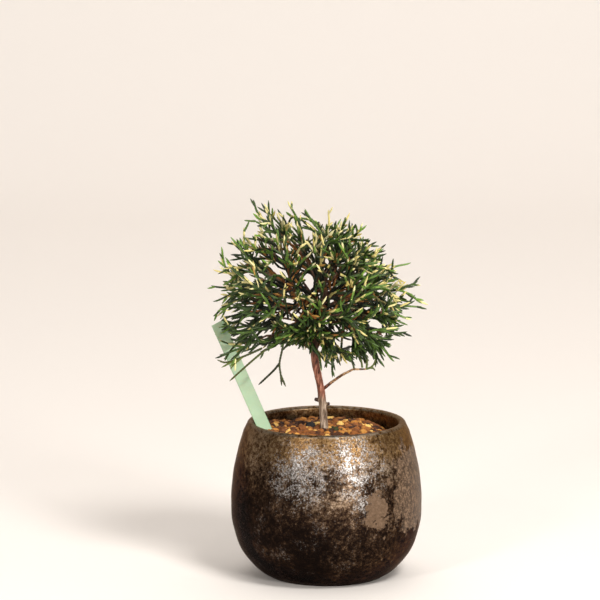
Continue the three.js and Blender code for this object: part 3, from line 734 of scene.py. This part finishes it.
class Growth:
    """Shoots that grow one from another, each from the best place already grown."""

    def __init__(self, crown, wood):
        self.crown = crown
        self.heart = crown.heart
        self.points = wood
        self.along = (wood - self.heart) / np.linalg.norm(wood - self.heart, axis=1)[:, None]
        self.woody = np.ones(len(wood), bool)
        self.load = np.zeros(len(wood))
        self.owner = np.full(len(wood), -1)
        self.shoots = []
        self.children = []

    def add(self, path, parent):
        """Adds a shoot; the places between its ends can carry further shoots."""
        path = np.asarray(path)
        steps = np.diff(path, axis=0)
        directions = steps / np.linalg.norm(steps, axis=1)[:, None]
        keep = slice(1, len(steps))
        added = len(path[keep])
        self.points = np.vstack([self.points, path[keep]])
        self.along = np.vstack([self.along, directions[keep]])
        self.woody = np.concatenate([self.woody, np.zeros(added, bool)])
        self.load = np.concatenate([self.load, np.zeros(added)])
        self.owner = np.concatenate([self.owner, np.full(added, len(self.shoots))])
        self.shoots.append(path)
        self.children.append(0)
        if parent >= 0:
            self.children[parent] += 1

    def fork(self, index):
        """Grows a short side shoot from the upper part of a shoot."""
        path = self.shoots[index]
        place = int(len(path) * draw(*FORK_PLACE))
        place = min(max(place, 1), len(path) - 2)
        along = unit(path[place + 1] - path[place - 1])
        side = unit(np.cross(along, rng.normal(size=3)))
        side = unit(side + FORK_OUTWARD * unit(path[place] - self.heart))
        side = unit(side - along * np.dot(side, along))
        angle = math.radians(draw(*FORK_ANGLE))
        heading = unit(along * math.cos(angle) + side * math.sin(angle))
        length = draw(*FORK_LENGTH) * MM
        bend = unit(heading + FORK_BEND * along)
        start = path[place]
        middle = start + heading * length * 0.5
        tip = middle + bend * length * 0.5
        path = [start, start + (middle - start) * 0.5, middle, (middle + tip) / 2, tip]
        if not self.crown.in_gap(path) or rng.random() < GAP_CROSSING:
            self.add(path, index)

    def reach_for(self, tip):
        """Grows a shoot to the tip from the place that suits it best."""
        offset = tip - self.points
        length = np.linalg.norm(offset, axis=1)
        heading = offset / length[:, None]
        turn = 1 - (heading * self.along).sum(axis=1)
        outward = heading @ unit(tip - self.heart)
        short = np.clip((SHOOT_LENGTH - length) / SHORT_BY, 0, None) ** 2
        long = np.clip((length - SHOOT_LENGTH) / LONG_BY, 0, None)
        cost = short + long + turn * np.where(self.woody, WOOD_TURN_COST, TURN_COST)
        cost += CROWDING_COST * self.load
        cost += INWARD_COST * np.clip(OUTWARD - outward, 0, None) + WOOD_COST * self.woody
        cost += STRAIGHT_COST * np.clip(STRAIGHT - turn, 0, None) / STRAIGHT * ~self.woody
        best = int(cost.argmin())
        if length[best] > LONGEST_SHOOT:
            return
        start, aim = self.points[best], heading[best]
        along = aim if self.woody[best] else unit(self.along[best] + aim)
        lift = unit(aim + 0.2 * unit(tip - self.heart) + (0, 0, 0.3))
        first = start + along * length[best] * 0.42
        second = tip - lift * length[best] * 0.30
        count = max(4, int(length[best] / NODE_STEP))
        t = np.linspace(0, 1, count + 1)[:, None]
        u = 1 - t
        path = u**3 * start + 3 * t * u**2 * first + 3 * t**2 * u * second + t**3 * tip
        if self.crown.in_gap(path) and rng.random() > GAP_CROSSING:
            return
        self.load[np.linalg.norm(self.points - start, axis=1) < CROWDED] += 1
        self.add(path, int(self.owner[best]))


def tree_of(points):
    """A search tree over points."""
    tree = kdtree.KDTree(len(points))
    for index, point in enumerate(points):
        tree.insert(point, index)
    tree.balance()
    return tree


def wood_places(crown):
    """Points along the branches inside the crown that can carry shoots."""
    points = node_points("trunk_and_branches")
    places = []
    for edge in frame["nodes"]["trunk_and_branches"].data.edges:
        a, b = points[edge.vertices[0]], points[edge.vertices[1]]
        count = max(1, int(np.linalg.norm(b - a) / WOOD_STEP))
        places += [a + (b - a) * t for t in np.linspace(0, 1, count, endpoint=False)]
    places = np.unique(np.array(places).round(6), axis=0)
    inside = np.array([crown.share(place) < 0.95 for place in places])
    return places[inside]


def spray_stem(name, wood_tree):
    """The point on the wood where a CAD spray starts, and the spray's farthest point from it."""
    points = node_points(name)
    nearest = min((wood_tree.find(point) for point in points), key=lambda found: found[2])
    base = np.array(nearest[0])
    return base, points[np.linalg.norm(points - base, axis=1).argmax()]


def pale_share(place, crown):
    """How pale a shoot is at its start and end: pale shoots come in groups, most of them high."""
    height = crown.height(place)
    group = noise.noise(Vector(place) * 85) + 0.5 * noise.noise(Vector(place) * 260)
    chance = 0.05 + 0.52 * max(0.0, height - 0.25) + 0.95 * max(0.0, group) * (0.45 + 0.6 * height)
    chance *= 0.35 + 0.65 * min(1.0, crown.share(place)) ** 2
    pick = rng.random()
    if pick < chance * 0.55:
        return (draw(0.75, 0.25), 1.0)
    if pick < chance:
        return (0.0, draw(0.65, 0.35))
    return (0.0, draw(0.0, 0.15))


def brown_share(depth, children):
    """How brown a shoot is: the inner ones often, and the outer ones when they carry many others."""
    if rng.random() < 0.85 * max(0.0, 0.88 - depth):
        return draw(0.55, 0.45)
    return min(0.8, 0.12 * children) if children > 4 else 0.0


def make_foliage_material():
    g = Graph("scale_foliage")
    where = g.position()
    grain = g.noise(where, 900, 3, 0.6)
    patch = g.noise(where, 140, 2, 0.5)
    tone = g.attribute("tone")
    green = g.ramp(g.both(tone, 0.75, patch, 0.3), LEAF_GREEN)
    pale = g.ramp(g.both(tone, 0.6, grain, 0.4), LEAF_PALE)
    edge = g.add(g.attribute("cream"), g.swing(grain, 0.5))
    colour = g.mix(g.curve(edge, 0.40, 0.62), green, pale)
    # Painted shade: the deeper a shoot lies in the crown, the nearer its colour goes to LEAF_SHADE.
    shade = g.curve(g.attribute("depth"), 0.45, 1.04, 0.04, 1.0)
    colour = g.mix(shade, LEAF_SHADE, colour)
    colour = g.mix(g.attribute("brown"), colour, g.ramp(tone, LEAF_BROWN))
    g.surface("Base Color", colour)
    dull = g.times(g.math("SUBTRACT", 1.0, shade), 0.45)
    g.surface("Roughness", g.add(g.curve(grain, 0.3, 0.7, 0.28, 0.46), dull))
    g.surface("Specular IOR Level", 0.38)
    g.surface("Normal", g.bump(grain, 0.35, 0.12 * MM))
    return g.material


def grow_shoots(crown, names):
    """Grows every shoot: one for each CAD spray, then the crown's, the sprigs, and side shoots last."""
    wood = wood_places(crown)
    wood_tree = tree_of(wood)
    growth = Growth(crown, wood)
    for name in names:
        base, tip = spray_stem(name, wood_tree)
        for _ in range(CUT_BACK_STEPS):
            if crown.share(tip) > STEM_RIM:
                tip = base + (tip - base) * CUT_BACK
        count = max(4, int(np.linalg.norm(tip - base) / NODE_STEP))
        growth.add(np.linspace(base, tip, count), -1)
    for tip in crown.targets():
        growth.reach_for(tip)
    first_sprig = len(growth.shoots)
    for sprig in HANGING_SPRIGS:
        points = [crown.at(share) for share in sprig]
        growth.add(catmull(points, np.linspace(0, 1, 4 * len(points))), -1)
    for index in range(len(names), first_sprig):
        for _ in range(1 + int(rng.random() < SECOND_FORK_CHANCE)):
            if crown.share(growth.shoots[index][-1]) > FORK_RIM and rng.random() < FORK_CHANCE:
                growth.fork(index)
    return growth, range(first_sprig, first_sprig + len(HANGING_SPRIGS))


def make_foliage():
    material = make_foliage_material()
    names = sorted(name for name in frame["nodes"] if name.startswith("spray_"))
    crown = Crown(names)
    growth, sprigs = grow_shoots(crown, names)

    # Every shoot goes to the piece of the CAD spray its middle is nearest to.
    cloud = [(point, index) for index, name in enumerate(names) for point in node_points(name)]
    spray_tree = tree_of([point for point, _ in cloud])
    pieces = [Shoots() for _ in names]
    for index, path in enumerate(growth.shoots):
        owner = index if index < len(names) else cloud[spray_tree.find(path[len(path) // 2])[1]][1]
        children = growth.children[index]
        depth = crown.share(path[-1])
        brown = brown_share(depth, children)
        cream = pale_share(path[-1], crown) if children < 4 else (0.0, 0.1)
        if index in sprigs:
            brown, cream = 0.12, (0.0, 0.0)
        tone = 0.5 + 0.27 * rng.normal() + 0.25 * noise.noise(Vector(path[-1]) * 60)
        # Painted shade: lower shoots get a lower tone, so the crown darkens towards its underside.
        tone = float(np.clip(tone * (0.78 + 0.34 * crown.height(path[-1])), 0, 1))
        radius = SHOOT_RADIUS + CHILD_GROWTH * min(children, 8)
        ends = (crown.share(path[0]), depth)
        pieces[owner].add(path, radius, cream, ends, brown, tone, rng.random() * math.pi)
    for name, shoots in zip(names, pieces):
        piece = "foliage_" + name.removeprefix("spray_")
        mesh = mesh_from_lists(piece, shoots.vertices, shoots.faces, True, shoots.values)
        add_piece(piece, mesh, material, name)


# ---- Wood ----
BARK_STRETCH = (1, 1, 0.22)  # the bark's pattern runs along the trunk
BARK_LOWER = [(0.41, (0.035, 0.017, 0.009)), (0.5, (0.20, 0.130, 0.080)), (0.60, (0.52, 0.40, 0.30))]
BARK_MIDDLE = [(0.41, (0.040, 0.012, 0.006)), (0.5, (0.24, 0.076, 0.040)), (0.61, (0.62, 0.29, 0.19))]
BARK_SHADED_IN_CROWN = [(0.36, (0.020, 0.009, 0.005)), (0.5, (0.085, 0.036, 0.018)), (0.68, (0.24, 0.12, 0.06))]
BARK_BRANCH = [(0.41, (0.050, 0.022, 0.010)), (0.5, (0.20, 0.090, 0.040)), (0.60, (0.60, 0.38, 0.19))]
STUB = (0.035, 0.014, 0.007)
WOOD_VOXEL = 0.28 * MM
TRUNK_SIDE = -3.5 * MM  # the trunk's middle in x, and the radius that counts as trunk
TRUNK_ROUND = 4.5 * MM
TRUNK_RELIEF = 0.22 * MM
BRANCH_RELIEF = 0.12 * MM
FLUTES = (620, 620, 130)  # how fine the bark's flutes and flakes are along x, y and z
FLAKES = (380, 380, 260)


def make_bark():
    """Grey-brown bark low on the trunk, red-brown above, dark in the crown as painted shade under the
    foliage, knotty on the low branches.
    """
    g = Graph("bark")
    where = g.position()
    stretched = g.position(BARK_STRETCH)
    x, y, z = g.split(where)
    streaks = g.noise(stretched, 900, 5, 0.6, 0.3)
    plates = g.noise(stretched, 330, 4, 0.6, 0.5)
    knots = g.noise(where, 620, 5, 0.7)
    grain = g.both(streaks, 0.5, plates, 0.5)
    wander = g.add(z, g.swing(plates, 0.010))
    colour = g.mix(g.curve(wander, 0.092, 0.097), g.ramp(grain, BARK_LOWER), g.ramp(grain, BARK_MIDDLE))
    # Painted shade: the bark turns dark where it enters the crown.
    colour = g.mix(g.curve(wander, 0.113, 0.120), colour, g.ramp(grain, BARK_SHADED_IN_CROWN))
    # The two low branches are what stands away from the trunk below the crown.
    away = g.math("ABSOLUTE", g.add(x, 0.003))
    low_branch = g.times(g.curve(away, 0.0035, 0.006), g.curve(z, 0.116, 0.112))
    colour = g.mix(low_branch, colour, g.ramp(knots, BARK_BRANCH))
    # The cut stubs are what stands away from the trunk between the pot's lip and the low branches.
    beside = g.math("ABSOLUTE", g.add(x, 0.0018))
    stub = g.times(g.curve(beside, 0.0022, 0.0030), g.curve(z, 0.098, 0.096))
    colour = g.mix(g.times(stub, g.curve(z, 0.080, 0.083)), colour, STUB)
    g.surface("Base Color", colour)
    g.surface("Roughness", g.curve(grain, 0.3, 0.7, 0.85, 0.6))
    g.surface("Normal", g.bump(grain, 0.9, 0.5 * MM))
    return g.material


def make_wood():
    """The trunk and branches as one skin with fluted, flaking bark, in the place of the CAD solid."""
    rough = add_object("rough_wood", frame["nodes"]["trunk_and_branches"].data.copy())
    bm = bmesh.new()
    bm.from_mesh(rough.data)
    bmesh.ops.remove_doubles(bm, verts=bm.verts, dist=2e-6)
    bm.to_mesh(rough.data)
    bm.free()
    remesh = rough.modifiers.new("remesh", "REMESH")
    remesh.mode = "VOXEL"
    remesh.voxel_size = WOOD_VOXEL
    smooth = rough.modifiers.new("smooth", "SMOOTH")
    smooth.factor = 0.5
    smooth.iterations = 4
    graph = bpy.context.evaluated_depsgraph_get()
    shaped = bpy.data.meshes.new_from_object(rough.evaluated_get(graph))
    bpy.data.objects.remove(rough)

    points = vertex_values(shaped, "co")
    normals = vertex_values(shaped, "normal")
    trunk = np.hypot(points[:, 0] - TRUNK_SIDE, points[:, 1]) < TRUNK_ROUND
    for i in range(len(points)):
        p = Vector(points[i])
        long = Vector([p[k] * FLUTES[k] for k in range(3)])
        flutes = noise.noise(long) + 0.5 * noise.noise(long * 2.3)
        flakes = max(0.0, noise.noise(Vector([p[k] * FLAKES[k] for k in range(3)])) - 0.15)
        depth = TRUNK_RELIEF if trunk[i] else BRANCH_RELIEF
        points[i] += normals[i] * depth * (0.8 * flutes + 1.4 * flakes + 0.3)
    shaped.vertices.foreach_set("co", points.ravel())
    shaped.name = "bark_skin"
    shaped.materials.clear()
    shaped.polygons.foreach_set("use_smooth", np.ones(len(shaped.polygons), bool))
    add_piece("bark_skin", shaped, make_bark(), "trunk_and_branches")


# ---- Soil ----
AKADAMA = [
    (0.10, (0.012, 0.004, 0.002)), (0.32, (0.085, 0.025, 0.006)), (0.52, (0.28, 0.090, 0.017)),
    (0.74, (0.56, 0.23, 0.038)), (0.98, (0.93, 0.60, 0.17)),
]
DARK_STONE = (0.010, 0.009, 0.010)
MOSS = (0.045, 0.052, 0.012)
BED_DROP = 2.0 * MM  # the bed's top lies this far under the CAD soil's, and the grains fill it up
TOP_DEPTH = 8 * MM  # the CAD soil's top lies within this depth of its crest
TOP_SEARCH = 9 * MM
GRAIN_SHAPES = 24
# The lower layer's smaller tone darkens it: painted shade under the upper grains.
GRAIN_LAYERS = [(1.15, 0.75 * MM, 0.7), (1.0, 0.05 * MM, 1.0)]  # size, sink and tone of each layer
GRAIN_SPACING = 2.9 * MM
GRAIN_SCATTER = 0.35 * MM
GRAIN_RADIUS = (1.25, 1.35)  # in mm: least and extra
GRAINS_LEFT_OUT = 0.35  # of the upper layer
DARK_GRAIN = (-8.2 * MM, 4.0 * MM)  # where the one dark stone lies
DARK_GRAIN_RADIUS = 2.6 * MM
MOSS_GRAINS = 14
MOSS_MIDDLE = (5.0, -4.0)  # in mm, like the next two
MOSS_SCATTER = (1.7, 2.2)
MOSS_SIZE = (0.5, 0.4)
ON_CREST = 0.9 * MM  # height of the dark and mossy grains over the crest
SPIN = 6.28  # about a full turn


def lump(squash, seed):
    """A rough, angular grain about the origin, with a radius of about one."""
    bm = bmesh.new()
    bmesh.ops.create_icosphere(bm, subdivisions=2, radius=1)
    offset = Vector((seed * 3.17, seed * 1.31, seed * 2.29))
    points = []
    for vertex in bm.verts:
        d = vertex.co.normalized()
        shape = 1 + 0.34 * noise.noise(d * 1.3 + offset) + 0.14 * noise.noise(d * 3.1 + offset)
        points.append(np.array(d) * shape * squash)
    faces = [[v.index for v in face.verts] for face in bm.faces]
    bm.free()
    return np.array(points), faces


def make_akadama():
    g = Graph("akadama")
    fine = g.noise(g.position(), 1500, 5, 0.65)
    colour = g.ramp(g.both(g.attribute("tone"), 0.8, fine, 0.3), AKADAMA)
    colour = g.mix(g.attribute("dark"), colour, DARK_STONE)
    colour = g.mix(g.attribute("moss"), colour, MOSS)
    g.surface("Base Color", colour)
    g.surface("Roughness", 0.85)
    g.surface("Normal", g.bump(fine, 0.6, 0.2 * MM))
    return g.material


def make_soil():
    """A bed of soil and the loose grains on it."""
    bed = node_points("soil")
    crest = bed[:, 2].max()
    top = bed[:, 2] > crest - TOP_DEPTH
    faces = [tuple(p.vertices) for p in frame["nodes"]["soil"].data.polygons]
    surface = BVHTree.FromPolygons([tuple(p) for p in bed], faces)
    bed[top, 2] -= BED_DROP
    vertices = [tuple(p) for p in bed]
    # The bed's low tone paints it near black: painted shade in the gaps between the grains.
    values = {"tone": [0.05] * len(bed), "dark": [0.0] * len(bed), "moss": [0.0] * len(bed)}

    def height_at(x, y):
        hit = surface.ray_cast(Vector((x, y, crest + 5 * MM)), Vector((0, 0, -1)))[0]
        return hit.z if hit and hit.z > crest - TOP_SEARCH else None

    def place(shape, size, at, **looks):
        """Adds a grain, turned at random."""
        points, grain_faces = shape
        first = len(vertices)
        spin = Matrix.Rotation(rng.random() * SPIN, 3, "Z") @ Matrix.Rotation(rng.random() * SPIN, 3, "X")
        vertices.extend(tuple(p) for p in points * size @ np.array(spin).T + np.asarray(at))
        faces.extend(tuple(first + k for k in face) for face in grain_faces)
        for key in values:
            values[key].extend([looks.get(key, 0.0)] * len(points))

    edge = np.hypot(bed[top, 0], bed[top, 1]).max()
    rows = int(edge / GRAIN_SPACING) + 1
    shapes = []
    for k in range(GRAIN_SHAPES):
        shapes.append(lump(np.array([1, 0.85 + 0.1 * (k % 3), 0.72 + 0.07 * (k % 4)]), k + 1))
    for layer, (size, sunk, tone) in enumerate(GRAIN_LAYERS):
        for i in range(-rows, rows + 1):
            for j in range(-rows, rows + 1):
                x = (i + 0.5 * (j % 2) + 0.5 * layer) * GRAIN_SPACING + rng.normal() * GRAIN_SCATTER
                y = (j * 0.87 + 0.4 * layer) * GRAIN_SPACING + rng.normal() * GRAIN_SCATTER
                radius = (GRAIN_RADIUS[0] + GRAIN_RADIUS[1] * rng.random() ** 1.3) * MM * size
                pick = rng.integers(len(shapes))
                if math.hypot(x, y) > edge - radius * 0.9:
                    continue
                z = height_at(x, y)
                if z is None:
                    continue
                if layer and rng.random() < GRAINS_LEFT_OUT:
                    continue
                grain_tone = float(np.clip(0.47 + 0.30 * rng.normal(), 0.05, 1.08))
                # The layer's tone darkens the lower layer as painted shade.
                place(shapes[pick], radius, (x, y, z - sunk), tone=grain_tone * tone)
    place(shapes[5], DARK_GRAIN_RADIUS, (*DARK_GRAIN, crest + ON_CREST), tone=0.1, dark=1.0)
    for shape in shapes[:MOSS_GRAINS]:
        x, y = ((at + scatter * rng.normal()) * MM for at, scatter in zip(MOSS_MIDDLE, MOSS_SCATTER))
        place(shape, draw(*MOSS_SIZE) * MM, (x, y, crest + ON_CREST), tone=0.3, moss=1.0)
    mesh = mesh_from_lists("akadama_grains", vertices, faces, False, values)
    add_piece("akadama_grains", mesh, make_akadama(), "soil")


# ---- Label and net ----
LABEL_STEPS = 46
LABEL_POINT = 9 * MM  # length of the pointed foot
LABEL_BLUNT = 0.12  # width at the very point, as a share of the full width
LABEL_BOW = 0.28 * MM
LABEL_BACK = 0.14 * MM  # half the bow, so that the strip stays about the CAD label's middle
LABEL_EDGE = 0.16 * MM  # how far the edges are rounded off
LABEL_GREEN = [(0.3, (0.33, 0.475, 0.30)), (0.7, (0.40, 0.56, 0.37))]
NET_BLACK = [(0.3, (0.012, 0.012, 0.012)), (0.7, (0.035, 0.034, 0.032))]


def make_label_plastic():
    g = Graph("label_plastic")
    where = g.position()
    grain = g.noise(where, 700, 3, 0.5)
    stain = g.noise(where, 60, 4, 0.6)
    g.surface("Base Color", g.ramp(stain, LABEL_GREEN))
    g.surface("Roughness", g.curve(grain, 0.3, 0.7, 0.38, 0.5))
    g.surface("Subsurface Weight", 0.15)
    g.surface("Subsurface Scale", 2 * MM)
    g.surface("Normal", g.bump(grain, 0.15, 0.1 * MM))
    return g.material


def make_label():
    """A thin strip with a square top, a pointed foot, rounded edges and a slight bow."""
    corners = np.unique(node_points("plant_label").round(7), axis=0)
    corners = corners[corners[:, 2].argsort()]
    upper = corners[4:]
    foot, head = corners[:4].mean(axis=0), upper.mean(axis=0)
    gaps = [(np.linalg.norm(a - b), tuple(a - b)) for a in upper for b in upper if tuple(a) < tuple(b)]
    gaps.sort(key=lambda gap: gap[0])
    thickness, width = gaps[0][0], gaps[2][0]
    long, across = unit(head - foot), unit(gaps[2][1])
    face = np.cross(long, across)
    length = np.linalg.norm(head - foot)
    thick = thickness / 2
    bm = bmesh.new()
    rings = []
    for i in range(LABEL_STEPS + 1):
        t = i / LABEL_STEPS
        along = t * length
        half = width / 2 * min(1.0, LABEL_BLUNT + along / LABEL_POINT)
        bow = LABEL_BOW * math.sin(math.pi * t)
        middle = foot + long * along + face * (bow - LABEL_BACK)
        ring = []
        for u, v in ((-1, -1), (-1, 1), (1, 1), (1, -1)):
            spots = [(u * half, v * (thick - LABEL_EDGE)), (u * (half - LABEL_EDGE), v * thick)]
            if v * u < 0:
                spots.reverse()
            ring += [bm.verts.new(middle + across * s + face * n) for s, n in spots]
        rings.append(ring)
    for low, high in zip(rings, rings[1:]):
        bridge(bm, low, high)
    bm.faces.new(rings[0][::-1])
    bm.faces.new(rings[-1])
    bmesh.ops.recalc_face_normals(bm, faces=bm.faces)
    mesh = mesh_from_bmesh("label_strip", bm)
    add_piece("label_strip", mesh, make_label_plastic(), "plant_label")


def finish_net():
    """The drainage net keeps its CAD shape and gets black plastic."""
    g = Graph("net_plastic")
    grain = g.noise(g.position(), 900, 3, 0.5)
    g.surface("Base Color", g.ramp(grain, NET_BLACK))
    g.surface("Roughness", g.curve(grain, 0.3, 0.7, 0.5, 0.7))
    g.surface("Normal", g.bump(grain, 0.3, 0.1 * MM))
    materials = frame["nodes"]["drainage_net"].data.materials
    materials.clear()
    materials.append(g.material)


make_camera()
make_lights()
make_floor()
make_pot()
finish_net()
make_soil()
make_label()
make_wood()
make_foliage()
